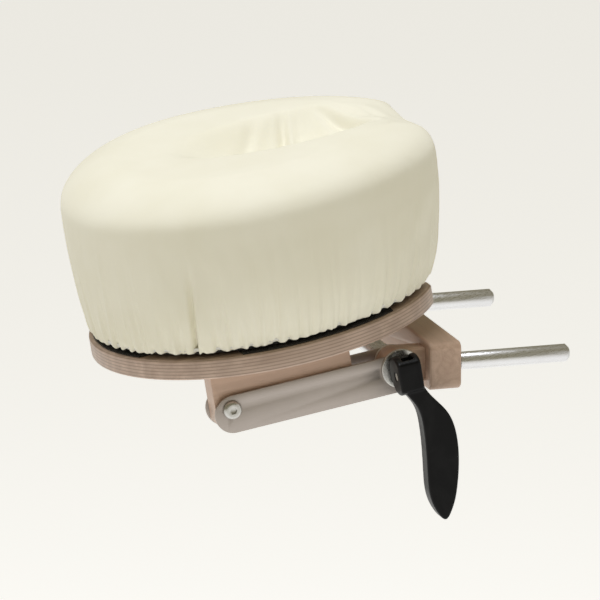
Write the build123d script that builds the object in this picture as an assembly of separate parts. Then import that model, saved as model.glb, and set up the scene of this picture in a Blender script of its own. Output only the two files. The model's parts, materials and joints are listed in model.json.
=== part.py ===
from build123d import *
import os

# Face cradle: a crescent cushion on a plywood platform, carried by folding arms that are clamped by
# a cam lever to a crossbar with two posts. Millimetres. +X points to the table, +Z up, and the
# origin is the middle of the crossbar's table-side face.
#
# Everything but the crossbar and its posts is drawn in the cradle frame, which is tilted so that
# the head end hangs lower: u runs along the arms towards the table, y across, n is the platform's
# normal, and u = n = 0 is the clamp spindle's axis.

# ---- driving dimensions ----
TILT = 9.5  # slope of the arms at rest, degrees
SPINDLE_X = -48
ARM_LENGTH = 138  # spindle to outer pivot

CROSSBAR_DEPTH = 26
CROSSBAR_HEIGHT = 38
CROSSBAR_HALF = 107
CROSSBAR_CORNER = 6
CROSSBAR_EDGE = 2
POST_SPACING = 185
POST_RADIUS = 7
POST_LENGTH = 92
POST_SOCKET = 16
POST_TENON_RADIUS = 6.2
POST_SHOULDER = 2.5  # the full diameter starts this far out of the crossbar
POST_NOSE = 2.5  # chamfer that leads the post into its socket
POST_SCREW_RADIUS = 2.5
POST_SCREW_HEAD_RADIUS = 4.5
POST_SCREW_HEAD_HEIGHT = 3

ARM_Y = 86  # middle of each arm
ARM_WIDTH = 28
ARM_BOTTOM = -19
ARM_TOP = 11
ARM_WALL = 2.5
WEB_START = -140
WEB_END = -30

LUG_WIDTH = 18
LUG_RADIUS = 13
TENON_LENGTH = 8
TENON_HEIGHT = 20

SHAFT_RADIUS = 4
HOLE_RADIUS = 4.05
LOOSE_RADIUS = 4.2
SPACER_RADIUS = 8
SPINDLE_PAST_ARM = 14
SPINDLE_WASHER_RADIUS = 12
SPINDLE_WASHER_THICKNESS = 2
NUT_FLATS = 13
SPINDLE_NUT_HEIGHT = 8
PIVOT_NUT_HEIGHT = 7

BOLT_HEAD_RADIUS = 7.5
BOLT_HEAD_HEIGHT = 4
BOLT_HEAD_ROUNDING = 3
BOLT_SOCKET_FLATS = 5
BOLT_SOCKET_DEPTH = 2.5
BOLT_PAST_ARM = 9
PIVOT_WASHER_RADIUS = 10
PIVOT_WASHER_THICKNESS = 1.2

RAIL_WIDTH = 20
RAIL_START = -150
RAIL_END = -37
RAIL_BOTTOM = -16.2
RAIL_TOE_RADIUS = 16.2
RAIL_HEEL_ROUNDING = 8

PLATFORM_BOTTOM = 30
PLATFORM_TOP = 46
TAPE_TOP = 48
CUSHION_BOTTOM = 48.3
PANEL_TOP = 50.5
HEM_BOTTOM = 51.5

# plan outline of the cushion's rim: two half ellipses that meet across its widest line
WIDEST_U = -82
HEAD_REACH = 150
TABLE_REACH = 163
HALF_WIDTH = 146
TABLE_CHORD = 70  # the ends of the crescent stop at this u

PLATFORM_INSET = 19
PLATFORM_CHORD = 48
PLATFORM_TIP_ROUNDING = 5
PLATFORM_EDGE = 2
PLATFORM_HOLE_MARGIN = 6  # the board's hole stands this far outside the cushion's
PLATFORM_SLOT_MARGIN = 4
TAPE_MARGIN = 3.5

SCREW_PLACES = (-132, -94, -56)
SCREW_LENGTH = 34
SCREW_RADIUS = 2
SCREW_HEAD_RADIUS = 4.5
SCREW_HEAD_HEIGHT = 3

SIDE_TAPE = (-62, 99, 128, 50)  # middle in u and y, length and width
HEAD_TAPE = (-187, 0, 44, 118)

# side profile of the fitted cover: height n, and how far it stands outside the rim's outline at
# the sides and at the head end, where it rises straight from the hem
COVER_PROFILE = [
    (HEM_BOTTOM, -19.6, -19.6), (71, -12, -18.5), (97, -4, -17), (129, 2, -14.5), (151, 4, -13.5),
    (163, 1.5, -15.5), (171.5, -6, -22), (177.5, -18, -33), (181.5, -42, -54), (182.5, -80, -88),
]
PAD_FOOT = [(PANEL_TOP, -27, -27), (64, -15.2, -19.4)]
COVER_THICKNESS = 1.2
ELASTIC_OUT = -21.6
ELASTIC_THICKNESS = 1.4
ELASTIC_WIDTH = 2.6
PAD_INSET = 1.4
SKIN_THICKNESS = 1.4

# face hole and the slot that runs from it to the table end
HOLE_U = -45
HOLE_REACH = 68
HOLE_HALF = 44
SLOT_HALF = 38

# hollow in the top of the cushion: an ellipsoid that dips into it
DISH_CENTRE = (-38, 0, 206)
DISH_RADII = (110, 60, 48)

# cam lever: hangs on the near side, its pin crossing the end of the spindle
CAM_WASHER_RADIUS = 15.5
CAM_WASHER_THICKNESS = 2.5
SADDLE_FLOOR = 1.2
SADDLE_THICKNESS = 5
SADDLE_SIZE = 19
CAM_RADIUS = 15.3
CAM_LIFT = 0.7
CAM_HEAD_OUT = 10
CAM_HEAD_LEFT = -10
CAM_HEAD_RIGHT = 9
CAM_PIN_RADIUS = 3
EYE_RADIUS = 6
EYE_WIDTH = 9
GRIP_THICKNESS = 15
HANDLE_ROUNDING = 1.5
# handle outline in u and n, from the head down the inner edge, round the tip and back up
HANDLE_OUTLINE = [
    (-9, 3), (-9, -6), (1.5, -27), (3.5, -42), (0.5, -84), (4, -114), (9.5, -120.5),
    (15, -115), (23, -96), (29, -56), (25, -36), (12.5, -17), (8.5, 3),
]

FIT = 0.15  # gap that two neighbouring faces on different bodies keep
BIG = 600

ARM_OUTER = ARM_Y + ARM_WIDTH / 2
ARM_INNER = ARM_Y - ARM_WIDTH / 2
SADDLE_Y = -(ARM_OUTER + FIT + CAM_WASHER_THICKNESS)
CAM_PIN_Y = SADDLE_Y - SADDLE_FLOOR - CAM_RADIUS - CAM_LIFT - 0.3
CRADLE = Location((SPINDLE_X, 0, 0), (0, -TILT, 0))


# ---- helpers ----
def rod(radius, start, end, u=0, n=0):
    """Round bar along y from start to end."""
    return Pos(u, (start + end) / 2, n) * Rot(90, 0, 0) * Cylinder(radius, abs(end - start))


def hexagon_nut(across_flats, start, end, u=0):
    """Six-sided nut along y, with a hole for the shaft."""
    face = RegularPolygon(across_flats / 2, 6, major_radius=False)
    nut = Pos(u, (start + end) / 2, 0) * Rot(90, 0, 0) * extrude(face, abs(end - start) / 2, both=True)
    return nut - rod(SHAFT_RADIUS, start, end, u)


def side_plate(outline, start, end):
    """Plate between two y values, from an outline drawn in u and n."""
    plate = extrude(Plane.XZ * outline, end - start)
    return Pos(0, end, 0) * plate


def both_sides(make):
    """The solids that make(+1) and make(-1) return, as one group."""
    return Compound(make(-1).solids() + make(1).solids())


def rim_outline(grow, n, head_grow=None):
    """Plan outline at height n, standing outside the rim's by grow, and by head_grow at the head end."""
    head_reach = HEAD_REACH + (grow if head_grow is None else head_grow)
    head = EllipticalCenterArc((0, 0), head_reach, HALF_WIDTH + grow, start_angle=90, arc_size=180)
    table = EllipticalCenterArc((0, 0), TABLE_REACH + grow, HALF_WIDTH + grow, start_angle=-90, arc_size=180)
    return Pos(WIDEST_U, 0, n) * make_face(head + table)


def beyond(u):
    """Block that holds everything on the table side of u."""
    return Pos(u + BIG / 2, 0, 0) * Box(BIG, BIG, BIG)


def envelope(profile, inset):
    """Solid inside the profile by inset, cut off at the table chord."""
    sections = [rim_outline(out - inset, n, head_out - inset) for n, out, head_out in profile[:-2]]
    sections += [rim_outline(out - inset, n - inset, head_out - inset) for n, out, head_out in profile[-2:]]
    return loft(sections, ruled=True) - beyond(TABLE_CHORD - inset)


def dish(inset):
    """The ellipsoid of the hollow, larger by inset."""
    radii = tuple(float(radius + inset) for radius in DISH_RADII)
    return Pos(*DISH_CENTRE) * scale(Sphere(1), by=radii)


def face_opening(grow, bottom, top):
    """Face hole with its slot to the table end, as a block from bottom to top."""
    hole = Pos(HOLE_U, 0) * Ellipse(HOLE_REACH + grow, HOLE_HALF + grow)
    slot = Pos(HOLE_U + BIG / 2, 0) * Rectangle(BIG, 2 * (SLOT_HALF + grow))
    return Pos(0, 0, bottom) * extrude(hole + slot, top - bottom)


def pad(inset, bottom_drop=0):
    """Crescent of the bare cushion, inside the cover by inset."""
    low_n, low_out, low_head_out = PAD_FOOT[0]
    foot = [(low_n - bottom_drop, low_out, low_head_out), PAD_FOOT[1]]
    solid = envelope(foot + COVER_PROFILE[2:], inset)
    return solid - dish(inset) - face_opening(inset, 0, 300)


# ---- base: crossbar, posts, lugs and clamp spindle ----
def crossbar():
    bar = Pos(-CROSSBAR_DEPTH / 2, 0, 0) * Box(CROSSBAR_DEPTH, 2 * CROSSBAR_HALF, CROSSBAR_HEIGHT)
    bar = fillet(bar.edges().filter_by(Axis.X), CROSSBAR_CORNER)
    bar = fillet(bar.edges().filter_by(Axis.Y), CROSSBAR_EDGE)
    for side in (-1, 1):
        bar -= post_part(side, POST_TENON_RADIUS, -POST_SOCKET, 0)
        bar -= post_screw(side)
        bar -= lug_tenon(side)
    return bar


def post_part(side, radius, start, end):
    middle = Pos((start + end) / 2, side * POST_SPACING / 2, 0)
    return middle * Rot(0, 90, 0) * Cylinder(radius, end - start)


def post(side):
    """Post with a thinner tenon that is screwed into the crossbar."""
    bar = post_part(side, POST_RADIUS, POST_SHOULDER, POST_LENGTH)
    bar = chamfer(bar.edges().sort_by(Axis.X)[-1], POST_NOSE)
    tenon = post_part(side, POST_TENON_RADIUS, -POST_SOCKET, POST_SHOULDER)
    return bar + tenon - post_screw(side)


def post_screw(side):
    """Screw up through the crossbar and the post, its head let into the underside."""
    x, y = -POST_SOCKET / 2, side * POST_SPACING / 2
    low = -CROSSBAR_HEIGHT / 2
    shank_top = POST_RADIUS + 4
    shank = Pos(x, y, (low + shank_top) / 2) * Cylinder(POST_SCREW_RADIUS, shank_top - low)
    head_middle = low + POST_SCREW_HEAD_HEIGHT / 2
    head = Pos(x, y, head_middle) * Cylinder(POST_SCREW_HEAD_RADIUS, POST_SCREW_HEAD_HEIGHT)
    return shank + head


def lug_tenon(side):
    x = -CROSSBAR_DEPTH + TENON_LENGTH / 2
    return Pos(x, side * ARM_Y, 0) * Box(TENON_LENGTH, LUG_WIDTH, TENON_HEIGHT)


def pivot_lug(side):
    reach = -CROSSBAR_DEPTH - SPINDLE_X
    arm = Pos(SPINDLE_X + reach / 2, side * ARM_Y, 0) * Box(reach, LUG_WIDTH, 2 * LUG_RADIUS)
    start, end = side * ARM_Y - LUG_WIDTH / 2, side * ARM_Y + LUG_WIDTH / 2
    lug = arm + rod(LUG_RADIUS, start, end, SPINDLE_X) + lug_tenon(side)
    return lug - rod(LOOSE_RADIUS, start - 1, end + 1, SPINDLE_X)


def spindle():
    """Clamp rod with the flat eye that holds the cam pin."""
    bar = rod(SHAFT_RADIUS, CAM_PIN_Y + CAM_PIN_RADIUS + 0.5, ARM_OUTER + SPINDLE_PAST_ARM)
    bar = chamfer(bar.edges().sort_by(Axis.Y)[-1], 1)
    eye = Pos(0, CAM_PIN_Y, 0) * Rot(0, 90, 0) * Cylinder(EYE_RADIUS, EYE_WIDTH)
    return CRADLE * (bar + eye - cam_pin_solid())


def cam_pin_solid():
    middle = (CAM_HEAD_LEFT + CAM_HEAD_RIGHT) / 2
    width = CAM_HEAD_RIGHT - CAM_HEAD_LEFT
    return Pos(middle, CAM_PIN_Y, 0) * Rot(0, 90, 0) * Cylinder(CAM_PIN_RADIUS, width - 1)


def cam_pin():
    return CRADLE * cam_pin_solid()


def cam_washer():
    start = SADDLE_Y
    disc = rod(CAM_WASHER_RADIUS, start, start + CAM_WASHER_THICKNESS)
    disc = fillet(disc.edges().sort_by(Axis.Y)[0], 0.6)
    return CRADLE * (disc - rod(SHAFT_RADIUS, start - 1, start + 4))


def cam_saddle():
    """Block with a round seat that the cam's head turns in."""
    block = Pos(0, SADDLE_Y - SADDLE_THICKNESS / 2, 0) * Box(SADDLE_SIZE, SADDLE_THICKNESS, SADDLE_SIZE)
    block = fillet(block.edges().filter_by(Axis.Y), 2)
    seat = Pos(0, CAM_PIN_Y, 0) * Rot(0, 90, 0) * Cylinder(CAM_RADIUS + CAM_LIFT + 0.3, 40)
    return CRADLE * (block - seat - rod(SHAFT_RADIUS, SADDLE_Y - 10, SADDLE_Y + 1))


def spacer_tube():
    """Tube between the two arms that the spindle pulls against."""
    half = ARM_INNER - FIT
    return CRADLE * (rod(SPACER_RADIUS, -half, half) - rod(LOOSE_RADIUS, -half, half))


def friction_washers():
    """One on each face of each lug."""
    washers = []
    for side in (-1, 1):
        for face in (-1, 1):
            start = side * ARM_Y + face * LUG_WIDTH / 2
            end = side * ARM_Y + face * (ARM_WIDTH / 2 - ARM_WALL - FIT)
            washers.append(rod(LUG_RADIUS, start, end) - rod(LOOSE_RADIUS, start, end))
    return CRADLE * Compound(washers)


def spindle_washer():
    start = ARM_OUTER + FIT
    end = start + SPINDLE_WASHER_THICKNESS
    return CRADLE * (rod(SPINDLE_WASHER_RADIUS, start, end) - rod(SHAFT_RADIUS, start, end))


def spindle_nut():
    start = ARM_OUTER + FIT + SPINDLE_WASHER_THICKNESS
    return CRADLE * hexagon_nut(NUT_FLATS, start, start + SPINDLE_NUT_HEIGHT)


# ---- cam lever ----
def cam_lever():
    """Moulded lever: an eccentric head that forks round the spindle's eye, and a curved grip."""
    outline = Spline(*HANDLE_OUTLINE)
    grip = make_face(outline + Line(HANDLE_OUTLINE[-1], HANDLE_OUTLINE[0]))
    grip = side_plate(grip, CAM_PIN_Y - GRIP_THICKNESS / 2, CAM_PIN_Y + GRIP_THICKNESS / 2)
    rims = grip.edges().sort_by(SortBy.LENGTH)[-2:]
    grip = fillet(rims, HANDLE_ROUNDING)
    width = CAM_HEAD_RIGHT - CAM_HEAD_LEFT
    middle = (CAM_HEAD_LEFT + CAM_HEAD_RIGHT) / 2
    head = Pos(middle, CAM_PIN_Y + CAM_LIFT, 0) * Rot(0, 90, 0) * Cylinder(CAM_RADIUS, width)
    outside = Pos(middle, CAM_PIN_Y - CAM_HEAD_OUT - BIG / 2, 0) * Box(BIG, BIG, BIG)
    head = head - outside
    head = fillet(head.edges(), 1.5)
    pin_hole = Pos(middle, CAM_PIN_Y, 0) * Rot(0, 90, 0) * Cylinder(CAM_PIN_RADIUS + 0.05, width + 2)
    low = -EYE_RADIUS - 0.4
    size = CAM_RADIUS + 12
    fork = Pos(0, CAM_PIN_Y + low + size / 2, low + size / 2) * Box(EYE_WIDTH + 0.8, size, size)
    return CRADLE * (grip + head - pin_hole - fork)


# ---- lower arms ----
def arm_plate_outline():
    """Side view of a channel arm: straight, with round ends."""
    middle = (ARM_TOP + ARM_BOTTOM) / 2
    height = ARM_TOP - ARM_BOTTOM
    slot = SlotCenterToCenter(ARM_LENGTH - 1, height)
    return Pos(-(ARM_LENGTH - 1) / 2, middle) * slot


def arm_channel(side):
    """Aluminium channel, open on top, with its floor cut away round the lug."""
    outline = arm_plate_outline()
    outer_face = side * ARM_Y
    block = side_plate(outline, outer_face - ARM_WIDTH / 2, outer_face + ARM_WIDTH / 2)
    inner_width = ARM_WIDTH - 2 * ARM_WALL
    floor_top = ARM_BOTTOM + ARM_WALL
    hollow = Pos(0, outer_face, floor_top + BIG / 2) * Box(BIG, inner_width, BIG)
    open_end = Pos(WEB_END + BIG / 2, outer_face, 0) * Box(BIG, inner_width, BIG)
    open_toe = Pos(WEB_START - BIG / 2, outer_face, 0) * Box(BIG, inner_width, BIG)
    arm = block - hollow - open_end - open_toe
    for u in (0, -ARM_LENGTH):
        arm -= rod(HOLE_RADIUS, outer_face - 20, outer_face + 20, u)
    return CRADLE * arm


def pivot_bolt(side):
    """Button-head bolt with a hexagon socket, its head on the arm's outer face."""
    outer, inner = side * ARM_OUTER, side * ARM_INNER
    top = outer + side * BOLT_HEAD_HEIGHT
    shank = rod(SHAFT_RADIUS, outer, inner - side * BOLT_PAST_ARM, -ARM_LENGTH)
    head = rod(BOLT_HEAD_RADIUS, outer, top, -ARM_LENGTH)
    rim = head.edges().sort_by(Axis.Y)[-1 if side > 0 else 0]
    head = fillet(rim, BOLT_HEAD_ROUNDING)
    socket_face = RegularPolygon(BOLT_SOCKET_FLATS / 2, 6, major_radius=False)
    socket = extrude(socket_face, BOLT_SOCKET_DEPTH, both=True)
    socket = Pos(-ARM_LENGTH, top, 0) * Rot(90, 0, 0) * socket
    return shank + head - socket


def pivot_nut(side):
    inner = side * ARM_INNER
    return hexagon_nut(NUT_FLATS, inner, inner - side * PIVOT_NUT_HEIGHT, -ARM_LENGTH)


def pivot_washers():
    """Nylon washers on each side of each rail."""
    washers = []
    for side in (-1, 1):
        for face in (-1, 1):
            start = side * ARM_Y + face * (ARM_WIDTH / 2 - ARM_WALL)
            end = start - face * PIVOT_WASHER_THICKNESS
            disc = rod(PIVOT_WASHER_RADIUS, start, end, -ARM_LENGTH)
            disc -= rod(SHAFT_RADIUS, start, end, -ARM_LENGTH)
            washers.append(disc)
    return CRADLE * Compound(washers)


# ---- platform ----
def rail(side):
    """Hardwood rail that nests in the channel, its toe rounded about the pivot."""
    width, height = RAIL_END - RAIL_START, PLATFORM_BOTTOM - RAIL_BOTTOM
    middle = Pos((RAIL_START + RAIL_END) / 2, (RAIL_BOTTOM + PLATFORM_BOTTOM) / 2)
    outline = middle * Rectangle(width, height)
    toe = Pos(-ARM_LENGTH - BIG / 2, -BIG / 2) * Rectangle(BIG, BIG)
    toe -= Pos(-ARM_LENGTH, 0) * Circle(RAIL_TOE_RADIUS)
    outline -= toe
    heel = outline.vertices().sort_by(Axis.X)[-2:].sort_by(Axis.Y)[0]
    outline = fillet(heel, RAIL_HEEL_ROUNDING)
    bar = side_plate(outline, side * ARM_Y - RAIL_WIDTH / 2, side * ARM_Y + RAIL_WIDTH / 2)
    bar -= rod(HOLE_RADIUS, side * ARM_Y - 20, side * ARM_Y + 20, -ARM_LENGTH)
    return CRADLE * (bar - platform_screws_of(side))


def platform_screws_of(side):
    """Three countersunk screws down through the platform into one rail."""
    screws = []
    for u in SCREW_PLACES:
        top = Pos(u, side * ARM_Y, PLATFORM_TOP)
        shank = Pos(0, 0, -SCREW_LENGTH / 2) * Cylinder(SCREW_RADIUS, SCREW_LENGTH)
        head = Cone(SCREW_RADIUS, SCREW_HEAD_RADIUS, SCREW_HEAD_HEIGHT)
        screws.append(top * (shank + Pos(0, 0, -SCREW_HEAD_HEIGHT / 2) * head))
    return Compound(screws)


def platform_outline(inset):
    """Horseshoe with rounded tips, its slot open to the table."""
    shape = rim_outline(-PLATFORM_INSET - inset, 0)
    chord = PLATFORM_CHORD - inset
    shape -= Pos(chord + BIG / 2, 0) * Rectangle(BIG, BIG)
    margin = PLATFORM_HOLE_MARGIN + inset
    shape -= Pos(HOLE_U, 0) * Ellipse(HOLE_REACH + margin, HOLE_HALF + margin)
    slot_half = SLOT_HALF + PLATFORM_SLOT_MARGIN + inset
    shape -= Pos(HOLE_U + BIG / 2, 0) * Rectangle(BIG, 2 * slot_half)
    return shape


def platform_board():
    shape = platform_outline(0)
    shape = fillet(shape.vertices().group_by(Axis.X)[-1], PLATFORM_TIP_ROUNDING)
    board = Pos(0, 0, PLATFORM_BOTTOM) * extrude(shape, PLATFORM_TOP - PLATFORM_BOTTOM)
    faces = board.faces().sort_by(Axis.Z)
    board = fillet(faces[0].edges() + faces[-1].edges(), PLATFORM_EDGE)
    for side in (-1, 1):
        board -= platform_screws_of(side)
    return CRADLE * board


def hook_tape(middle_u, middle_y, length, width):
    """Strip of hook tape on the platform, trimmed to its outline."""
    strip = Pos(middle_u, middle_y) * Rectangle(length, width)
    strip = platform_outline(TAPE_MARGIN) & strip
    return CRADLE * (Pos(0, 0, PLATFORM_TOP) * extrude(strip, TAPE_TOP - PLATFORM_TOP))


# ---- cushion ----
def loop_panel():
    shape = rim_outline(PAD_FOOT[0][1] - PAD_INSET, 0)
    shape -= Pos(TABLE_CHORD + BIG / 2, 0) * Rectangle(BIG, BIG)
    panel = Pos(0, 0, CUSHION_BOTTOM) * extrude(shape, PANEL_TOP - CUSHION_BOTTOM)
    return CRADLE * (panel - face_opening(PAD_INSET, 0, 100))


def foam_core():
    return CRADLE * pad(PAD_INSET + SKIN_THICKNESS)


def upholstery():
    return CRADLE * (pad(PAD_INSET) - pad(PAD_INSET + SKIN_THICKNESS, bottom_drop=5))


def fitted_cover():
    """Cloth over the whole cushion: it bridges the slot and hangs slack over the face hole."""
    outer = envelope(COVER_PROFILE, 0) - dish(0)
    below = [(HEM_BOTTOM - 5, *COVER_PROFILE[0][1:])]
    inner = envelope(below + COVER_PROFILE, COVER_THICKNESS) - dish(COVER_THICKNESS)
    return CRADLE * (outer - inner)


def hem_elastic():
    """Flat elastic that runs round inside the cover's hem."""
    outer = rim_outline(ELASTIC_OUT, HEM_BOTTOM + 1)
    inner = rim_outline(ELASTIC_OUT - ELASTIC_THICKNESS, HEM_BOTTOM + 1)
    return CRADLE * extrude(outer - inner, ELASTIC_WIDTH)


def main():
    os.makedirs("parts", exist_ok=True)
    parts = {
        "crossbar": crossbar(),
        "post_screws": both_sides(post_screw),
        "spindle": spindle(),
        "cam_pin": cam_pin(),
        "cam_washer": cam_washer(),
        "cam_saddle": cam_saddle(),
        "spacer_tube": spacer_tube(),
        "friction_washers": friction_washers(),
        "spindle_washer": spindle_washer(),
        "spindle_nut": spindle_nut(),
        "cam_lever": cam_lever(),
        "pivot_bolts": CRADLE * both_sides(pivot_bolt),
        "pivot_nuts": CRADLE * both_sides(pivot_nut),
        "pivot_washers": pivot_washers(),
        "platform_board": platform_board(),
        "platform_screws": CRADLE * both_sides(platform_screws_of),
        "hook_tape_head": hook_tape(*HEAD_TAPE),
        "loop_panel": loop_panel(),
        "foam_core": foam_core(),
        "upholstery": upholstery(),
        "fitted_cover": fitted_cover(),
        "hem_elastic": hem_elastic(),
    }
    tape_u, tape_y, tape_length, tape_width = SIDE_TAPE
    for name, side in (("near", -1), ("far", 1)):
        parts["post_" + name] = post(side)
        parts["pivot_lug_" + name] = pivot_lug(side)
        parts["arm_channel_" + name] = arm_channel(side)
        parts["rail_" + name] = rail(side)
        parts["hook_tape_" + name] = hook_tape(tape_u, side * tape_y, tape_length, tape_width)
    for name, shape in parts.items():
        export_step(shape, f"parts/{name}.step")


main()
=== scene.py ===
import json
import math

import bmesh
import bpy
import numpy as np
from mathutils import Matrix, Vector
from mathutils.bvhtree import BVHTree


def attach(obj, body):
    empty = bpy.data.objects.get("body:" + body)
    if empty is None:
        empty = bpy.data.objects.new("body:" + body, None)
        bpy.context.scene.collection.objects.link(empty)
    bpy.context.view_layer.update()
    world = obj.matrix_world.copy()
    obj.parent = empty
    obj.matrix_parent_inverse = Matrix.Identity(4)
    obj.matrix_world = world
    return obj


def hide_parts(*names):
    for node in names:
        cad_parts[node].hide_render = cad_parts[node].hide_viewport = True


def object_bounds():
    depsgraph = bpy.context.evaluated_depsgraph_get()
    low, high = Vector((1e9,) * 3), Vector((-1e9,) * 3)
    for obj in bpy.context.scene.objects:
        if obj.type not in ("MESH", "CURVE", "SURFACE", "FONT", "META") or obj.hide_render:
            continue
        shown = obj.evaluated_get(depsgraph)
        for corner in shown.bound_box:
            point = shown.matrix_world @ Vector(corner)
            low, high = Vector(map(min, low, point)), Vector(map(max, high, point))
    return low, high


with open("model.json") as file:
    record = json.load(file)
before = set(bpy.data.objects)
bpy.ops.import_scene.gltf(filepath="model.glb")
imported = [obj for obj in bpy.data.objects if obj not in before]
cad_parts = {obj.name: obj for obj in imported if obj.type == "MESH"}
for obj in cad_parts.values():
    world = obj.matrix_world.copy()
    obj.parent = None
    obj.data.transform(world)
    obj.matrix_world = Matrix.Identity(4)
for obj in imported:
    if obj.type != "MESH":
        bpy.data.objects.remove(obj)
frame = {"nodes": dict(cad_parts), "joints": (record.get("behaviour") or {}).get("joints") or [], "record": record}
cad_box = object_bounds()

# The looks of a face cradle. Shapes are worked out in millimetres in the cradle frame, which is
# tilted with the arms: u runs along them towards the table, y across, n is the platform's normal,
# and u = n = 0 is the clamp spindle. place() turns them into metres in the CAD's own frame.
MM = 0.001
joints = {joint["name"]: joint for joint in frame["joints"]}
SPINDLE = np.array(joints["arm_lift"]["pos_m"])
NORMAL = np.array(joints["cushion_lift"]["axis"])
ALONG = np.array([NORMAL[2], 0.0, -NORMAL[0]])
ACROSS = np.array([0.0, 1.0, 0.0])
TILT = math.atan2(ALONG[2], ALONG[0])

# plan outline of the cushion's rim: two half ellipses that meet across its widest line
WIDEST_U = -82
HEAD_REACH = 150
TABLE_REACH = 163
HALF_WIDTH = 146
TABLE_CHORD = 70

# the cover's side profile from the crown down, over the rim and round the hem: height n, and how
# far it stands outside the rim's outline at the sides and at the head end
COVER_PROFILE = [
    (182, -49, -62), (179.8, -35, -51.5), (176.2, -22, -41.5), (171, -10, -32), (164.8, -1.2, -24),
    (158.6, 3.6, -18.6), (151, 4.6, -15.2), (139, 3.8, -13.4), (126, 2.6, -14), (100, -3.6, -16.6),
    (73, -11.4, -18.5), (60.5, -16.4, -19.6), (54, -19.3, -20.4), (51, -21, -21.4), (50.2, -23, -23.2),
    (50.6, -25.5, -25.5),
]
TOP_SHARE = 0.36  # share of the cover's rings that lie inside the crown
COVER_RINGS = 64  # the simulated grid; the finished one has twice as many
COVER_THICKNESS = 0.6
CROWN_RISE = 0.8
CROWN_N = (166, 178)  # heights between which the sides turn into the crown
HEM_N = 52
HEM_REACH = 7
# below this height the cover was cut straight, this far outside the rim's outline
RIM_N = 151
RIM_OUT = 4
HEAD_RIM_OUT = -13.5
# the flat table end: how softly it is cut off, and the hollow in its middle
CHORD_SOFTNESS = 3
HOLLOW_HALF = 24
HOLLOW_DEPTH = 7
HOLLOW_SAG = 3.5
HOLLOW_U = (30, 62)  # it grows from none to whole between these
HOLLOW_N = (60, 95)
HOLLOW_TOP_N = (158, 181)
# slack over the face hole
DIP_CENTRE_U = -38
DIP_REACH = 92
DIP_HALF = 52
DIP_DEPTH = 25
# folds in the slack cloth: where along u, how it leans, half width and depth
SLING_FOLDS = [
    (-38, 0.35, 3.6, 7), (22, -0.4, 4, 6.5), (-78, 0.7, 5, 2.5), (-6, 0.1, 5, 2.5), (44, -0.2, 4, 3.5),
]
# the cover's gathers, furrows and ridges: seed, mean spacing, depth, heights that they end at, widths
FURROWS = (11, 8, 2.6, (75, 150), (1.6, 3.0))
RIDGES = (12, 10, 1.5, (80, 175), (2.2, 4.0))
# the deep crease: where it is, its lean, depth and width, then the bulge beside it
CREASE_U = -171
CREASE_LEAN = 0.05
CREASE_FADE_N = (82, 138)
CREASE_DEPTH = 5.5
CREASE_WIDTH = 2.6
BULGE_HEIGHT = 2.4
BULGE_AWAY = 7
BULGE_WIDTH = 4.5
# scallops that the elastic draws into the hem
HEM_TEETH = 66
TOOTH_INWARD = 1.6
TOOTH_UP = 2.4

OUTLINE_STEPS = 1440
# how the points that the simulation moves are evened out
SETTLE_ROUNDS = 3
SETTLE_SHARE = 0.8

# the pad and the foam under the cover
PAD_GAP = 1.2 * MM
PAD_VOXEL = 3.5 * MM
FOAM_INSET = 2 * MM
TUCK_REACH = 25 * MM
PAD_SOFTENING = 12

# the lever's moulding
LEVER_VOXEL = 0.75 * MM
LEVER_SOFTENING = 5

# the cover's simulation
DRAPE_SCALE = 10  # the cloth is simulated this much larger
DRAPE_FRAMES = 22
DRAPE_CAP = 4  # furthest that the simulation may move a point, mm
DRAPE_FOLDS = 0.4  # share of the folds that the cloth starts with
DRAPE_GRAVITY = 0.5
DRAPE_CONTACT = 0.005
CLOTH = {
    "quality": 6, "mass": 0.12, "tension_stiffness": 30, "compression_stiffness": 30,
    "shear_stiffness": 8, "bending_stiffness": 0.02, "tension_damping": 8, "compression_damping": 8,
    "shear_damping": 8, "air_damping": 2, "pin_stiffness": 2,
}

# the room and the view of it
FLOOR_Z = -0.95
FLOOR_REACH = 40
LIGHT_COLOUR = (0.89, 0.92, 1)
CAMERA_AZIMUTH = math.radians(-17.3)
CAMERA_ELEVATION = math.radians(14.1)
CAMERA_DISTANCE = 6.49
VIEW_WIDTH = 0.47  # width of the camera's view at the object
SENSOR_WIDTH = 36


# ---- shapes ----
def place(u, y, n):
    """Points in metres, in the CAD's frame, from cradle coordinates in millimetres."""
    u, y, n = np.broadcast_arrays(u, y, n)
    return SPINDLE + MM * (u[..., None] * ALONG + y[..., None] * ACROSS + n[..., None] * NORMAL)


def cradle_coordinates(points):
    """The reverse of place(): (u, y, n) in millimetres."""
    away = (points - SPINDLE) / MM
    return away @ ALONG, away @ ACROSS, away @ NORMAL


def new_piece(name, points, faces):
    """A smooth-shaded object with this mesh, in the scene."""
    mesh = bpy.data.meshes.new(name)
    mesh.from_pydata([tuple(p) for p in points], [], [tuple(int(i) for i in f) for f in faces])
    mesh.validate()
    piece = bpy.data.objects.new(name, mesh)
    bpy.context.scene.collection.objects.link(piece)
    shade_smooth(mesh)
    return piece


def shade_smooth(mesh):
    mesh.polygons.foreach_set("use_smooth", [True] * len(mesh.polygons))


def apply_modifiers(piece):
    """Bakes the piece's modifiers into its mesh."""
    graph = bpy.context.evaluated_depsgraph_get()
    mesh = bpy.data.meshes.new_from_object(piece.evaluated_get(graph), depsgraph=graph)
    piece.modifiers.clear()
    old = piece.data
    piece.data = mesh
    mesh.name = old.name
    bpy.data.meshes.remove(old)


def vertex_array(mesh):
    """The mesh's points, one row each."""
    flat = np.zeros(len(mesh.vertices) * 3)
    mesh.vertices.foreach_get("co", flat)
    return flat.reshape(-1, 3)


def smooth_step(x, low, high):
    """0 below low, 1 above high, and an S-shaped rise between them."""
    share = np.clip((x - low) / (high - low), 0, 1)
    return share * share * (3 - 2 * share)


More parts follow.
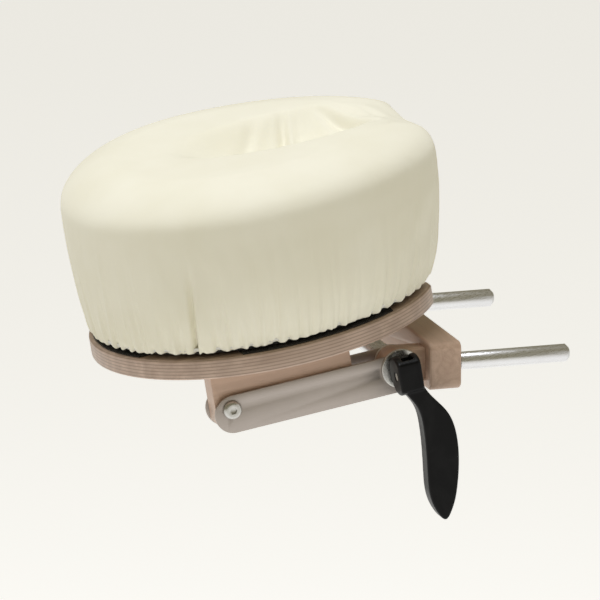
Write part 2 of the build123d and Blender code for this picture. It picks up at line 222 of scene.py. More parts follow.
def smooth_curve(points, share):
    """Point at each share, 0 to 1, of a smooth curve through the points, by length."""
    points = np.array(points, float)
    ends = np.vstack([2 * points[0] - points[1], points, 2 * points[-1] - points[-2]])
    steps = np.linspace(0, 1, 24, endpoint=False)[:, None]
    spans = []
    for i in range(len(points) - 1):
        a, b, c, d = ends[i:i + 4]
        spans.append(0.5 * (2 * b + (c - a) * steps + (2 * a - 5 * b + 4 * c - d) * steps**2
                            + (3 * b - a - 3 * c + d) * steps**3))
    line = np.vstack(spans + [points[-1:]])
    length = np.concatenate([[0], np.cumsum(np.linalg.norm(np.diff(line, axis=0), axis=1))])
    return [np.interp(share * length[-1], length, line[:, k]) for k in range(line.shape[1])]


# ---- the cushion's cover ----
def rim_outline(angle, grow, head_grow):
    """The rim's outline in plan, (u, y), grown at the sides and, apart, at the head end."""
    reach = np.where(np.cos(angle) < 0, HEAD_REACH + head_grow, TABLE_REACH + grow)
    return WIDEST_U + reach * np.cos(angle), (HALF_WIDTH + grow) * np.sin(angle)


def rim_length(angle):
    """Distance along the rim's outline to each angle, and its whole length."""
    around = np.linspace(0, 2 * math.pi, OUTLINE_STEPS + 1)
    u, y = rim_outline(around, 0, 0)
    length = np.concatenate([[0], np.cumsum(np.hypot(np.diff(u), np.diff(y)))])
    return np.interp(angle % (2 * math.pi), around, length), length[-1]


def disc_grid(rings):
    """Square grid of points bent into a disc: each point's distance from the middle and angle."""
    line = np.linspace(-1, 1, 2 * rings + 1)
    a, b = np.meshgrid(line, line, indexing="ij")
    wide = np.abs(a) >= np.abs(b)
    lead = np.where(wide, a, b)
    safe = np.where(lead == 0, 1, lead)
    turn = np.where(wide, math.pi / 4 * b / safe, math.pi / 2 - math.pi / 4 * a / safe)
    return np.abs(lead), (turn + math.pi * (lead < 0)) % (2 * math.pi)


def grid_faces(rings):
    """The four-sided faces of disc_grid()."""
    side = 2 * rings + 1
    index = np.arange(side * side).reshape(side, side)
    corners = [index[:-1, :-1], index[1:, :-1], index[1:, 1:], index[:-1, 1:]]
    return np.stack([c.ravel() for c in corners], axis=1)


def dip(u, y):
    """How far the slack cloth hangs below the crown, over the face hole."""
    out = ((u - DIP_CENTRE_U) / DIP_REACH) ** 2 + (y / DIP_HALF) ** 2
    inside = np.clip(1 - out, 0, 1)
    return DIP_DEPTH * inside**2 * (1 + out)


def cover_shape(rings, straight=False):
    """The cover before any fold: (u, y, n, angle) on the grid. As it was cut, its sides are straight."""
    far, angle = disc_grid(rings)
    top = np.clip(far / TOP_SHARE, 0, 1)
    side = np.clip((far - TOP_SHARE) / (1 - TOP_SHARE), 0, 1)
    side_n, side_out, head_out = smooth_curve(COVER_PROFILE, side)
    if straight:
        side_out = np.where(side_n < RIM_N, RIM_OUT, side_out)
        head_out = np.where(side_n < RIM_N, HEAD_RIM_OUT, head_out)
    ring_u, ring_y = rim_outline(angle, side_out, head_out)
    middle = DIP_CENTRE_U + (WIDEST_U - DIP_CENTRE_U) * top
    u = middle + top * (ring_u - WIDEST_U)
    y = top * ring_y
    n = side_n + CROWN_RISE * (1 - top**2) - dip(u, y)
    over = (u - TABLE_CHORD) / CHORD_SOFTNESS
    u = u - CHORD_SOFTNESS * np.logaddexp(0, over)
    hollow = np.exp(-(y / HOLLOW_HALF) ** 2) * smooth_step(u, *HOLLOW_U) * smooth_step(n, *HOLLOW_N)
    u = u - HOLLOW_DEPTH * hollow * (1 - smooth_step(n, *HOLLOW_TOP_N))
    n = n - HOLLOW_SAG * hollow
    return u, y, n, angle


def pleats(angle, n, seed, spacing, depth, top_range, width_range):
    """Inward push of irregular gathers that fade out up the side."""
    chance = np.random.default_rng(seed)
    where, whole = rim_length(angle)
    push = np.zeros_like(n)
    at = 0.0
    while at < whole:
        at += spacing * chance.uniform(0.6, 1.5)
        width = chance.uniform(*width_range)
        top = chance.uniform(*top_range)
        strength = depth * chance.uniform(0.35, 1.0)
        lean = chance.uniform(-0.06, 0.06)
        gap = where - at - lean * (HEM_N - n)
        gap = (gap + whole / 2) % whole - whole / 2
        push += strength * np.exp(-(gap / width) ** 2) * (1 - smooth_step(n, HEM_N + 4, top))
    return push


def crease(angle, n):
    """One deep fold down the near side, off the middle of the head end."""
    where, whole = rim_length(angle)
    u, y = rim_outline(np.linspace(0, 2 * math.pi, OUTLINE_STEPS + 1), 0, 0)
    away = np.where(y < -40, np.abs(u - CREASE_U), np.inf)
    at = rim_length(np.array(away.argmin() * 2 * math.pi / OUTLINE_STEPS))[0]
    gap = where - at - CREASE_LEAN * (n - HEM_N)
    fade = 1 - smooth_step(n, *CREASE_FADE_N)
    furrow = CREASE_DEPTH * np.exp(-(gap / CREASE_WIDTH) ** 2)
    bulge = BULGE_HEIGHT * np.exp(-((gap - BULGE_AWAY) / BULGE_WIDTH) ** 2)
    return fade * (furrow - bulge)


def sling_folds(u, y):
    """Soft folds that run across the slack cloth over the face hole."""
    share = np.sqrt(dip(u, y) / DIP_DEPTH)
    folds = 0
    for middle, lean, width, depth in SLING_FOLDS:
        gap = u - middle - lean * y
        beside = np.exp(-((gap - 1.9 * width) / width) ** 2)
        folds = folds + depth * (np.exp(-(gap / width) ** 2) - 0.6 * beside)
    return share * folds


def folded(shape):
    """The cover's shape with its gathers, crease and sling folds: (u, y, n)."""
    u, y, n, angle = shape
    push = pleats(angle, n, *FURROWS)
    push = push - pleats(angle, n, *RIDGES)
    push = push + crease(angle, n)
    below_crown = 1 - smooth_step(n, *CROWN_N)
    hem = 1 - smooth_step(n, HEM_N, HEM_N + HEM_REACH)
    where, whole = rim_length(angle)
    wander = 1.6 * np.sin(9 * angle + 1) + 1.2 * np.sin(23 * angle) + 0.8 * np.sin(41 * angle + 2)
    size = 0.55 + 0.3 * np.sin(7 * angle + 2) + 0.25 * np.sin(17 * angle)
    teeth = size * (0.5 + 0.5 * np.sin(2 * math.pi * where / whole * HEM_TEETH + wander)) ** 2 * hem
    inward = push * below_crown + TOOTH_INWARD * teeth
    u, y = u - inward * np.cos(angle), y - inward * np.sin(angle)
    return u, y, n - sling_folds(u, y) + TOOTH_UP * teeth


def drape(start, cut, faces, held, body):
    """Cloth simulation over the pad, enlarged so that its gaps suit the solver: the points it ends at."""
    cloth = new_piece("draping", (start - SPINDLE) * DRAPE_SCALE, faces)
    cloth.shape_key_add(name="start")
    rest = cloth.shape_key_add(name="cut")
    rest.data.foreach_set("co", ((cut - SPINDLE) * DRAPE_SCALE).ravel())
    group = cloth.vertex_groups.new(name="held")
    for share in np.unique(held[held > 0]):
        group.add([int(i) for i in np.flatnonzero(held == share)], float(share), "REPLACE")
    settings = cloth.modifiers.new("cloth", "CLOTH").settings
    for name, value in CLOTH.items():
        setattr(settings, name, value)
    settings.effector_weights.gravity = DRAPE_GRAVITY
    settings.rest_shape_key = rest
    settings.vertex_group_mass = "held"
    contact = cloth.modifiers["cloth"].collision_settings
    contact.distance_min = DRAPE_CONTACT
    contact.collision_quality = 3
    body_points = (vertex_array(body.data) - SPINDLE) * DRAPE_SCALE
    form = new_piece("form", body_points, [p.vertices for p in body.data.polygons])
    form.modifiers.new("collision", "COLLISION")
    form.collision.thickness_outer = 0.004
    form.collision.cloth_friction = 12
    cloth.modifiers["cloth"].point_cache.frame_end = DRAPE_FRAMES
    scene = bpy.context.scene
    for step in range(1, DRAPE_FRAMES + 1):
        scene.frame_set(step)
    graph = bpy.context.evaluated_depsgraph_get()
    points = vertex_array(cloth.evaluated_get(graph).data) / DRAPE_SCALE + SPINDLE
    for piece in (cloth, form):
        bpy.data.objects.remove(piece)
    scene.frame_set(1)
    return points


def settle(grid):
    """Evens out small kinks in a grid of points."""
    grid = grid.copy()
    for _ in range(SETTLE_ROUNDS):
        middle = (grid[:-2, 1:-1] + grid[2:, 1:-1] + grid[1:-1, :-2] + grid[1:-1, 2:]) / 4
        grid[1:-1, 1:-1] += SETTLE_SHARE * (middle - grid[1:-1, 1:-1])
    return grid


def doubled(grid):
    """The same grid with a new point midway between neighbours."""
    side = 2 * grid.shape[0] - 1
    fine = np.zeros((side, side, 3))
    fine[::2, ::2] = grid
    fine[1::2, ::2] = (grid[:-1] + grid[1:]) / 2
    fine[:, 1::2] = (fine[:, :-1:2] + fine[:, 2::2]) / 2
    return fine


def tuck(body, skin, rings, gap):
    """Moves the body's points in, where they are outside the skin or nearer to it than the gap."""
    tree = BVHTree.FromPolygons([Vector(p) for p in skin.reshape(-1, 3)], grid_faces(rings).tolist())
    points = vertex_array(body.data)
    for point in points:
        spot, normal, _, _ = tree.find_nearest(Vector(point), TUCK_REACH)
        if spot is not None:
            depth = (spot - Vector(point)).dot(normal)
            point += np.array(normal) * min(0, depth - gap)
    body.data.vertices.foreach_set("co", points.ravel())
    body.data.update()


def slackened(body):
    """How far the simulation moves each point of the coarse grid, evened out and capped."""
    shape = cover_shape(COVER_RINGS)
    plain = place(*shape[:3])
    start = plain + DRAPE_FOLDS * (place(*folded(shape)) - plain)
    cut = place(*cover_shape(COVER_RINGS, straight=True)[:3])
    far = disc_grid(COVER_RINGS)[0]
    held = np.where(far > 0.999, 1.0, np.where(far > 0.97, 0.35, 0.0)).ravel()
    ended = drape(start.reshape(-1, 3), cut.reshape(-1, 3), grid_faces(COVER_RINGS), held, body)
    moved = ended.reshape(start.shape) - start
    free = 0.25 + 0.75 * smooth_step(far, TOP_SHARE, TOP_SHARE + 0.12)
    moved *= (free * (1 - smooth_step(far, 0.80, 0.96)))[..., None]
    size = np.linalg.norm(moved, axis=2, keepdims=True) / MM
    return settle(moved * np.minimum(1, DRAPE_CAP / np.maximum(size, 1e-6)))


def make_cover(pad, foam_block):
    """The fitted cotton cover: draped over the pad, then gathered, creased and thickened."""
    rings = 2 * COVER_RINGS
    shape = cover_shape(rings)
    points = place(*folded(shape))
    points = points + settle(doubled(slackened(pad)))
    tuck(pad, points, rings, PAD_GAP)
    tuck(foam_block, points, rings, PAD_GAP + FOAM_INSET)
    cover = new_piece("fitted_cotton_cover", points.reshape(-1, 3), grid_faces(rings))
    add_flat_map(cover, shape)
    thick = cover.modifiers.new("thick", "SOLIDIFY")
    thick.thickness = COVER_THICKNESS * MM
    thick.offset = -1
    apply_modifiers(cover)
    return cover


def add_flat_map(cover, shape):
    """UV map in centimetres along the cloth's threads, for its weave."""
    u, y, n, angle = [x.ravel() for x in shape]
    layer = cover.data.uv_layers.new(name="threads")
    corners = np.zeros(len(cover.data.loops), int)
    cover.data.loops.foreach_get("vertex_index", corners)
    below = np.maximum(0, COVER_PROFILE[0][0] - n)
    across = u + below * np.cos(angle)
    down = y + below * np.sin(angle)
    layer.data.foreach_set("uv", np.stack([across[corners], down[corners]], axis=1).ravel() / 10)


# ---- materials ----
class Look:
    """One material: its shader, and short ways to add the nodes that colour and roughen it."""

    def __init__(self, name, **settings):
        self.material = bpy.data.materials.new(name)
        self.material.use_nodes = True
        self.tree = self.material.node_tree
        self.surface = self.tree.nodes["Principled BSDF"]
        for label, value in settings.items():
            self.surface.inputs[label.replace("_", " ")].default_value = value

    def node(self, kind, **inputs):
        node = self.tree.nodes.new("ShaderNode" + kind)
        for label, value in inputs.items():
            self.put(node.inputs[label.replace("_", " ")], value)
        return node

    def put(self, socket, value):
        if isinstance(value, bpy.types.NodeSocket):
            self.tree.links.new(value, socket)
        else:
            socket.default_value = value

    def place(self, along=(1, 1, 1)):
        """Place on the part in millimetres, in the tilted cradle frame, stretched by along."""
        where = self.node("TexCoord").outputs["Object"]
        level = self.node("Mapping", Vector=where, Rotation=(0, TILT, 0), Scale=(1 / MM,) * 3)
        return self.node("Mapping", Vector=level.outputs[0], Scale=along).outputs[0]

    def noise(self, at, scale, detail=3.0, distortion=0.0):
        node = self.node("TexNoise", Vector=at, Scale=scale, Detail=detail, Distortion=distortion)
        return node.outputs["Fac"]

    def bands(self, at, scale, direction, distortion=0.0, detail=2.0):
        node = self.node("TexWave", Vector=at, Scale=scale, Distortion=distortion, Detail=detail)
        node.bands_direction = direction
        return node.outputs["Fac"]

    def span(self, value, low, high, to_low=0.0, to_high=1.0):
        node = self.node("MapRange", Value=value)
        limits = {"From Min": low, "From Max": high, "To Min": to_low, "To Max": to_high}
        for label, number in limits.items():
            node.inputs[label].default_value = number
        return node.outputs[0]

    def blend(self, share, a, b, kind="MIX"):
        node = self.tree.nodes.new("ShaderNodeMix")
        node.data_type = "RGBA"
        node.blend_type = kind
        for socket, value in zip((node.inputs[0], node.inputs[6], node.inputs[7]), (share, a, b)):
            self.put(socket, value)
        return node.outputs[2]

    def edge_highlight_and_wear(self, sharpness=0.52):
        """1 on the sharp outer edges, 0 elsewhere: the mask for edges painted lighter, a painted highlight that is
        partly wear.
        """
        return self.span(self.node("NewGeometry").outputs["Pointiness"], sharpness, sharpness + 0.05)

    def colour(self, value):
        self.put(self.surface.inputs["Base Color"], value)

    def roughness(self, value):
        self.put(self.surface.inputs["Roughness"], value)

    def relief(self, height, distance, strength=1.0, under=None):
        """Adds bumps of this height in millimetres, over another relief if one is given."""
        node = self.node("Bump", Height=height, Strength=strength, Distance=distance * MM)
        if under is not None:
            self.put(node.inputs["Normal"], under)
        self.put(self.surface.inputs["Normal"], node.outputs[0])
        return node.outputs[0]


def tone(red, green, blue):
    return (red, green, blue, 1.0)


def cotton():
    """Cream sheeting: a plain weave with slubs, faint creasing and a soft sheen."""
    look = Look("cream_cotton", Sheen_Weight=0.25, Sheen_Roughness=0.55, Specular_IOR_Level=0.2)
    look.surface.inputs["Sheen Tint"].default_value = tone(1, 0.98, 0.93)
    threads = look.node("UVMap").outputs[0]
    body = look.place()
    patch = look.span(look.noise(body, 0.018, 3), 0.35, 0.65)
    drawn_out = look.node("Mapping", Vector=threads, Scale=(4, 60, 1)).outputs[0]
    slub = look.span(look.noise(drawn_out, 1.0, 2), 0.4, 0.7)
    base = look.blend(patch, tone(0.815, 0.782, 0.63), tone(0.845, 0.815, 0.675))
    look.colour(look.blend(look.span(slub, 0, 1, 0, 0.35), base, tone(0.79, 0.77, 0.68)))
    look.roughness(look.span(patch, 0, 1, 0.82, 0.92))
    warp = look.bands(threads, 4.2, "X", 0.6)
    weft = look.bands(threads, 4.2, "Y", 0.6)
    weave = look.blend(0.5, warp, weft)
    first = look.relief(look.noise(body, 0.11, 4, 0.4), 0.35, 0.5)
    look.relief(weave, 0.05, 0.55, first)
    return look.material


def elastic():
    """White ribbed elastic."""
    look = Look("white_elastic", Sheen_Weight=0.15)
    rib = look.bands(look.place(), 0.2, "Z", 0.2)
    look.colour(look.blend(rib, tone(0.66, 0.65, 0.60), tone(0.82, 0.81, 0.77)))
    look.roughness(look.span(rib, 0, 1, 0.7, 0.9))
    look.relief(rib, 0.15)
    return look.material


def vinyl():
    """Cream upholstery with a fine pebbled grain."""
    look = Look("cream_vinyl", Coat_Weight=0.08, Coat_Roughness=0.4)
    at = look.place()
    cells = look.node("TexVoronoi", Vector=at, Scale=0.9).outputs["Distance"]
    patch = look.noise(at, 0.03, 3)
    look.colour(look.blend(patch, tone(0.70, 0.65, 0.52), tone(0.78, 0.73, 0.60)))
    look.roughness(look.span(cells, 0, 0.6, 0.55, 0.38))
    look.relief(cells, 0.12, 0.6)
    return look.material


def foam():
    """Cream foam with open cells."""
    look = Look("cream_foam")
    at = look.place()
    cells = look.node("TexVoronoi", Vector=at, Scale=1.4).outputs["Distance"]
    look.colour(look.blend(look.span(cells, 0, 0.5), tone(0.52, 0.46, 0.27), tone(0.80, 0.74, 0.52)))
    look.roughness(look.span(cells, 0, 0.5, 1.0, 0.85))
    look.relief(cells, 0.4)
    return look.material


def hook_fabric():
    """Black nylon tape ground, woven across, with lighter brownish patches at random."""
    look = Look("black_hook_tape", Sheen_Weight=0.1)
    at = look.place()
    ribs = look.bands(at, 0.24, "X", 0.3)
    # lighter brown patches, placed at random by noise
    blotches = look.span(look.noise(at, 0.06, 4), 0.45, 0.75)
    base = look.blend(ribs, tone(0.006, 0.005, 0.005), tone(0.022, 0.019, 0.016))
    look.colour(look.blend(look.span(blotches, 0, 1, 0, 0.4), base, tone(0.045, 0.035, 0.026)))
    look.roughness(look.span(ribs, 0, 1, 0.75, 0.5))
    look.relief(ribs, 0.15)
    return look.material


def loop_fabric():
    """Dark brushed loop fabric on the cushion's underside."""
    look = Look("charcoal_loop_fabric", Sheen_Weight=0.35, Sheen_Roughness=0.4)
    at = look.place()
    nap = look.noise(at, 1.6, 4, 0.8)
    patch = look.noise(at, 0.03, 3)
    base = look.blend(nap, tone(0.010, 0.010, 0.011), tone(0.055, 0.053, 0.052))
    look.colour(look.blend(look.span(patch, 0.4, 0.7, 0, 0.3), base, tone(0.07, 0.066, 0.06)))
    look.roughness(look.span(nap, 0.3, 0.7, 1.0, 0.8))
    look.relief(nap, 0.5)
    return look.material


def timber(name, pale, deep, grain, ply_pitch=None):
    """Lacquered wood. grain stretches the figure along the piece; plywood shows its layers too."""
    look = Look(name, Coat_Weight=0.22, Coat_Roughness=0.28, Specular_IOR_Level=0.35)
    at = look.place(grain)
    figure = look.noise(at, 0.10, 4, 1.4)
    rings = look.bands(at, 0.022, "Y", 5.0, 3.0)
    pores = look.span(look.noise(at, 1.3, 2), 0.60, 0.72)
    base = look.blend(look.span(figure, 0.3, 0.7), tone(*deep), tone(*pale))
    dark = tone(*[x * 0.72 for x in deep])
    base = look.blend(look.span(rings, 0.2, 1, 0.28, 0), base, dark)
    base = look.blend(look.span(pores, 0, 1, 0, 0.45), base, dark)
    height = look.span(pores, 0, 1, 1, 0)
    if ply_pitch:
        layer = look.bands(look.place(), 0.314 / ply_pitch, "Z")
        glue = look.span(layer, 0.0, 0.12, 0.55, 0)
        base = look.blend(look.span(layer, 0.2, 0.8, 0.3, 0), base, tone(*[x * 0.62 for x in deep]))
        base = look.blend(glue, base, tone(*[x * 0.35 for x in deep]))
    # the edges are painted lighter: a painted highlight along them, partly wear of the lacquer
    edge_highlight_and_wear_share = look.span(look.edge_highlight_and_wear(), 0, 1, 0, 0.35)
    look.colour(look.blend(edge_highlight_and_wear_share, base, tone(*[min(1, x * 1.25) for x in pale])))
    look.roughness(look.span(figure, 0.3, 0.7, 0.34, 0.48))
    look.relief(height, 0.06, 0.6)
    return look.material


def brushed(name, base, roughness, metallic=1.0, stretch=(0.03, 1, 1), scuffs=0.25):
    """Metal with fine lines along the piece, its edges painted brighter: a painted highlight, partly polish from
    wear.
    """
    look = Look(name, Metallic=metallic)
    lines = look.noise(look.place(stretch), 2.2, 3)
    smear = look.span(look.noise(look.place(), 0.04, 3), 0.35, 0.7)
    dull = tone(*[x * 0.86 for x in base])
    colour = look.blend(look.span(lines, 0.3, 0.7), dull, tone(*base))
    colour = look.blend(look.span(smear, 0, 1, 0, scuffs), colour, tone(*[x * 0.72 for x in base]))
    # the brighter edge colour is a painted highlight, partly polish from wear
    edge_highlight_and_polish = tone(*[min(1, x * 1.3) for x in base])
    look.colour(look.blend(look.span(look.edge_highlight_and_wear(), 0, 1, 0, 0.6), colour, edge_highlight_and_polish))
    look.roughness(look.span(lines, 0.3, 0.7, roughness - 0.07, roughness + 0.09))
    look.relief(lines, 0.02, 0.5)
    return look.material


def moulded(name, base, roughness, coat=0.0, pebble=0.02):
    """Moulded plastic with a fine skin texture, its edges painted lighter: a painted highlight, partly scuffing.
    """
    look = Look(name, Coat_Weight=coat, Coat_Roughness=0.12, Specular_IOR_Level=0.13)
    at = look.place()
    skin = look.noise(at, 2.6, 3)
    smear = look.span(look.noise(at, 0.06, 4, 0.6), 0.45, 0.75)
    lighter = tone(*[min(1, x * 1.25 + 0.012) for x in base])
    colour = look.blend(look.span(smear, 0, 1, 0, 0.4), tone(*base), lighter)
    # the lighter edge colour is a painted highlight, partly scuffing
    edge_highlight_and_scuff = tone(*[min(1, x * 1.1 + 0.03) for x in base])
    look.colour(look.blend(look.span(look.edge_highlight_and_wear(), 0, 1, 0, 0.5), colour, edge_highlight_and_scuff))
    look.roughness(look.span(smear, 0, 1, roughness, roughness + 0.14))
    look.relief(skin, pebble)
    return look.material


ALONG_U = (0.06, 1, 1)
ALONG_Y = (1, 0.06, 1)
LOOKS = {
    "plywood": timber("birch_plywood", (0.61, 0.46, 0.37), (0.46, 0.33, 0.255), ALONG_U, 2.66),
    "hardwood": timber("beech_rails", (0.61, 0.44, 0.335), (0.46, 0.315, 0.235), ALONG_U),
    "crossbar_wood": timber("beech_crossbar", (0.61, 0.44, 0.335), (0.46, 0.315, 0.235), ALONG_Y),
    "arm_metal": brushed("satin_aluminium", (0.45, 0.40, 0.365), 0.42, 0.85),
    "post_metal": brushed("drawn_aluminium", (0.72, 0.72, 0.73), 0.3),
    "fastener_steel": brushed("zinc_steel", (0.62, 0.61, 0.58), 0.3, 1.0, (1, 1, 0.3)),
    "lever_plastic": moulded("black_lever_plastic", (0.003, 0.003, 0.0035), 0.34, 0.03),
    "saddle_plastic": moulded("dark_saddle_plastic", (0.018, 0.018, 0.02), 0.5),
    "nylon": moulded("white_nylon", (0.72, 0.70, 0.64), 0.42),
    "hook_tape": hook_fabric(),
    "loop_fabric": loop_fabric(),
    "foam": foam(),
    "upholstery": vinyl(),
    "cover_cotton": cotton(),
    "elastic": elastic(),
}


def wear(piece, finish):
    """Gives a piece the material of its finish, in place of its own."""
    piece.data.materials.clear()
    piece.data.materials.append(LOOKS[finish])


# ---- hard parts ----
# CAD nodes by finish: the first group keeps its CAD shape, the second gets its edges eased, by a
# width in millimetres. A name there may stand for a _near and a _far node.
KEPT_FINISH = {
    "spindle": "fastener_steel", "cam_pin": "fastener_steel", "post_screws": "fastener_steel",
    "platform_screws": "fastener_steel", "pivot_washers": "nylon", "friction_washers": "nylon",
    "loop_panel": "loop_fabric", "hem_elastic": "elastic",
}
EASED_FINISH = {
    "crossbar": ("crossbar_wood", 0.6), "pivot_lug": ("hardwood", 0.8), "rail": ("hardwood", 1.2),
    "platform_board": ("plywood", 0.5), "arm_channel": ("arm_metal", 0.55),
    "post": ("post_metal", 0.4), "spacer_tube": ("post_metal", 0.4),
    "pivot_bolts": ("fastener_steel", 0.3), "pivot_nuts": ("fastener_steel", 0.5),
    "spindle_nut": ("fastener_steel", 0.5), "spindle_washer": ("fastener_steel", 0.3),
    "cam_washer": ("fastener_steel", 0.3), "cam_saddle": ("saddle_plastic", 0.5),
}


FLAT_ANGLE = math.radians(0.5)
BEVEL_ANGLE = math.radians(34)
SHARP_ANGLE = math.radians(32)


def body_with(node):
    """The name of the body that holds this CAD node."""
    groups = frame["record"]["behaviour"]["bodies"]
    return next(body for body, nodes in groups.items() if node in nodes)


def stands_for(piece, node, finish):
    """Puts the piece in the CAD node's place, on its body, with its finish."""
    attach(piece, body_with(node))
    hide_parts(node)
    wear(piece, finish)


def mesh_of(node):
    """Points and faces of a CAD node."""
    data = frame["nodes"][node].data
    return vertex_array(data), [tuple(p.vertices) for p in data.polygons]


def clean_copy(node, name):
    """A new piece with the CAD node's shape, its flat faces whole again."""
    piece = new_piece(name, *mesh_of(node))
    work = bmesh.new()
    work.from_mesh(piece.data)
    bmesh.ops.remove_doubles(work, verts=work.verts, dist=2e-6)
    bmesh.ops.dissolve_limit(
        work, angle_limit=FLAT_ANGLE, verts=work.verts, edges=work.edges,
        use_dissolve_boundaries=False,
    )
    work.to_mesh(piece.data)
    work.free()
    return piece


def eased(node, finish, width):
    """The part with its sharp edges broken by a small round."""
    piece = clean_copy(node, node + "_finished")
    bevel = piece.modifiers.new("eased", "BEVEL")
    bevel.width = width * MM
    bevel.segments = 2
    bevel.limit_method = "ANGLE"
    bevel.angle_limit = BEVEL_ANGLE
    bevel.miter_outer = "MITER_ARC"
    bevel.use_clamp_overlap = True
    apply_modifiers(piece)
    piece.data.set_sharp_from_angle(angle=SHARP_ANGLE)
    stands_for(piece, node, finish)
    return piece


def soften(piece, voxel, rounds):
    """Adds modifiers that turn the piece into one skin with rounded corners."""
    skin = piece.modifiers.new("skin", "REMESH")
    skin.mode = "VOXEL"
    skin.voxel_size = voxel
    soft = piece.modifiers.new("soft", "SMOOTH")
    soft.factor = 0.5
    soft.iterations = rounds


def moulded_lever():
    """The lever with the soft corners of a moulding."""
    piece = new_piece("cam_lever_moulded", *mesh_of("cam_lever"))
    soften(piece, LEVER_VOXEL, LEVER_SOFTENING)
    apply_modifiers(piece)
    shade_smooth(piece.data)
    stands_for(piece, "cam_lever", "lever_plastic")


# ---- hook tape ----
HOOK_PITCH = 1.9
HOOK_BASE = 0.9  # thickness of the tape's ground
HOOK_RADIUS = 0.17
# one hook's line: out along u and up along n, from its foot over to its point
HOOK_LINE = [(0, 0), (0.05, 0.75), (0.3, 1.12), (0.65, 1.02), (0.72, 0.62)]


def hook_rods(feet, chance):
    """Small three-sided bent rods, one at each foot."""
    ring = [(math.cos(a), math.sin(a)) for a in (0.5, 2.6, 4.7)]
    points, faces = [], []
    for u, y, n in feet:
        turn = chance.choice([0, math.pi]) + chance.uniform(-0.35, 0.35)
        size = chance.uniform(0.85, 1.0)
        cos, sin = math.cos(turn), math.sin(turn)
        first = len(points)
        for out, up in HOOK_LINE:
            for across, away in ring:
                fore = size * out + HOOK_RADIUS * away
                side = HOOK_RADIUS * across
                points.append((u + fore * cos - side * sin, y + fore * sin + side * cos, n + size * up))
        for k in range(len(HOOK_LINE) - 1):
            for j in range(3):
                a, b = first + 3 * k + j, first + 3 * k + (j + 1) % 3
                faces.append((a, b, b + 3, a + 3))
        last = first + 3 * (len(HOOK_LINE) - 1)
        faces.append((last, last + 1, last + 2))
    return np.array(points), faces


def hook_tape(node, seed):
    """Tape ground with its field of hooks."""
    chance = np.random.default_rng(seed)
    points, faces = mesh_of(node)
    u, y, n = cradle_coordinates(points)
    bottom = n.min()
    ground = place(u, y, np.where(n > bottom + 1, bottom + HOOK_BASE, n))
    tree = BVHTree.FromPolygons([tuple(p) for p in ground], faces)
    feet = []
    margin = 1.2
    for i, row in enumerate(np.arange(y.min() + margin, y.max() - margin, HOOK_PITCH * 0.8)):
        for spot in np.arange(u.min() + margin + (i % 2) * HOOK_PITCH / 2, u.max() - margin, HOOK_PITCH):
            top = place(spot, row, bottom + 30)
            if tree.ray_cast(Vector(top), Vector(-NORMAL), 1)[0] is not None:
                jitter = chance.uniform(-0.2, 0.2, 2)
                feet.append((spot + jitter[0], row + jitter[1], bottom + HOOK_BASE - 0.1))
    hooks, hook_faces = hook_rods(feet, chance)
    shift = len(ground)
    hook_points = place(hooks[:, 0], hooks[:, 1], hooks[:, 2])
    all_faces = faces + [tuple(i + shift for i in f) for f in hook_faces]
    piece = new_piece(node + "_hooks", np.vstack([ground, hook_points]), all_faces)
    piece.data.set_sharp_from_angle(angle=math.radians(50))
    stands_for(piece, node, "hook_tape")


# ---- the cushion ----
def make_pad(name, node, finish, inset):
    """The cushion's block with softened corners, drawn in by the inset and kept under the cover."""
    piece = new_piece(name, *mesh_of("foam_core"))
    soften(piece, PAD_VOXEL, PAD_SOFTENING)
    smaller = piece.modifiers.new("smaller", "DISPLACE")
    smaller.mid_level = 0
    smaller.strength = -inset
    apply_modifiers(piece)
    rings = 2 * COVER_RINGS
    tuck(piece, place(*cover_shape(rings)[:3]), rings, PAD_GAP + inset)
    shade_smooth(piece.data)
    stands_for(piece, node, finish)
    return piece


def dress_cushion():
    """The foam block, the upholstered pad round it and the cotton cover over both."""
    pad = make_pad("upholstered_pad", "upholstery", "upholstery", 0)
    foam_block = make_pad("foam_block", "foam_core", "foam", FOAM_INSET)
    cover = make_cover(pad, foam_block)
    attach(cover, "cushion")
    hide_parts("fitted_cover")
    wear(cover, "cover_cotton")


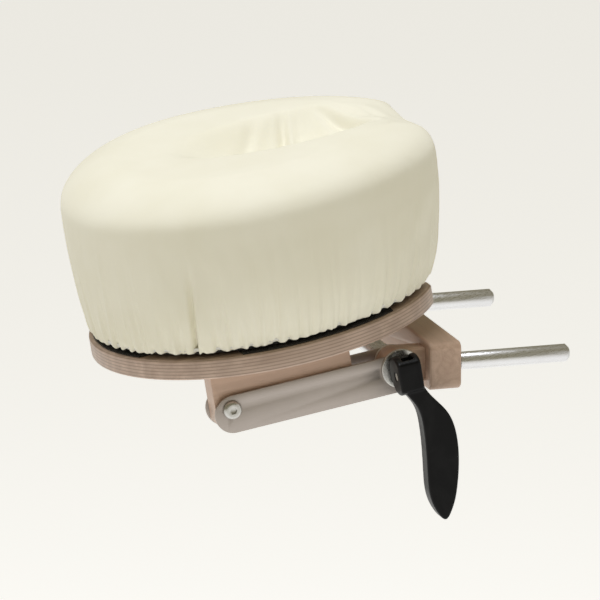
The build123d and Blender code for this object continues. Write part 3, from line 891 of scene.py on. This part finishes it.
# ---- room, light and camera ----
def make_room(centre):
    """A pale floor, a warm sky, a large soft light above and a faint one from the side."""
    corners = [(x * FLOOR_REACH, y * FLOOR_REACH, FLOOR_Z) for x, y in ((-1, -1), (1, -1), (1, 1), (-1, 1))]
    floor = new_piece("floor", corners, [(0, 1, 2, 3)])
    look = Look("pale_floor", Roughness=0.9, Specular_IOR_Level=0.1)
    blotches = look.noise(look.node("TexCoord").outputs["Object"], 0.7, 3)
    look.colour(look.blend(blotches, tone(0.93, 0.93, 0.93), tone(0.96, 0.96, 0.96)))
    look.surface.inputs["Emission Color"].default_value = tone(0.965, 0.975, 1)
    look.surface.inputs["Emission Strength"].default_value = 0.57
    floor.data.materials.append(look.material)
    world = bpy.data.worlds.new("studio")
    world.use_nodes = True
    sky = world.node_tree.nodes["Background"]
    sky.inputs["Color"].default_value = tone(1, 0.9, 0.6)
    sky.inputs["Strength"].default_value = 0.27
    bpy.context.scene.world = world
    add_light(centre, "overhead", (-0.55, -0.05, 2.35), 1.6, 56)
    add_light(centre, "front_fill", (2.1, -1.7, 0.5), 1.6, 5)


def add_light(centre, name, offset, size, power):
    """A round soft light that faces the centre from this offset."""
    data = bpy.data.lights.new(name, "AREA")
    data.shape = "DISK"
    data.size = size
    data.energy = power
    data.color = LIGHT_COLOUR
    lamp = bpy.data.objects.new(name, data)
    bpy.context.scene.collection.objects.link(lamp)
    lamp.location = centre + Vector(offset)
    lamp.rotation_euler = (-Vector(offset)).to_track_quat("-Z", "Y").to_euler()


def make_camera(centre):
    """A camera that looks at the centre from the near side and a little above."""
    data = bpy.data.cameras.new("camera")
    data.sensor_width = SENSOR_WIDTH
    data.lens = SENSOR_WIDTH * CAMERA_DISTANCE / VIEW_WIDTH
    data.clip_end = 100
    camera = bpy.data.objects.new("camera", data)
    bpy.context.scene.collection.objects.link(camera)
    level = math.cos(CAMERA_ELEVATION)
    away = Vector((
        math.sin(CAMERA_AZIMUTH) * level, -math.cos(CAMERA_AZIMUTH) * level, math.sin(CAMERA_ELEVATION),
    ))
    camera.location = centre + CAMERA_DISTANCE * away
    camera.rotation_euler = (-away).to_track_quat("-Z", "Y").to_euler()
    bpy.context.scene.camera = camera


def main():
    for node, finish in KEPT_FINISH.items():
        wear(frame["nodes"][node], finish)
    for stem, (finish, width) in EASED_FINISH.items():
        for node in (stem, stem + "_near", stem + "_far"):
            if node in frame["nodes"]:
                eased(node, finish, width)
    moulded_lever()
    for seed, node in enumerate(("hook_tape_near", "hook_tape_far", "hook_tape_head")):
        hook_tape(node, seed)
    dress_cushion()
    low, high = cad_box
    centre = (Vector(low) + Vector(high)) / 2
    make_room(centre)
    make_camera(centre)
    bpy.context.scene.view_settings.view_transform = "Standard"


main()
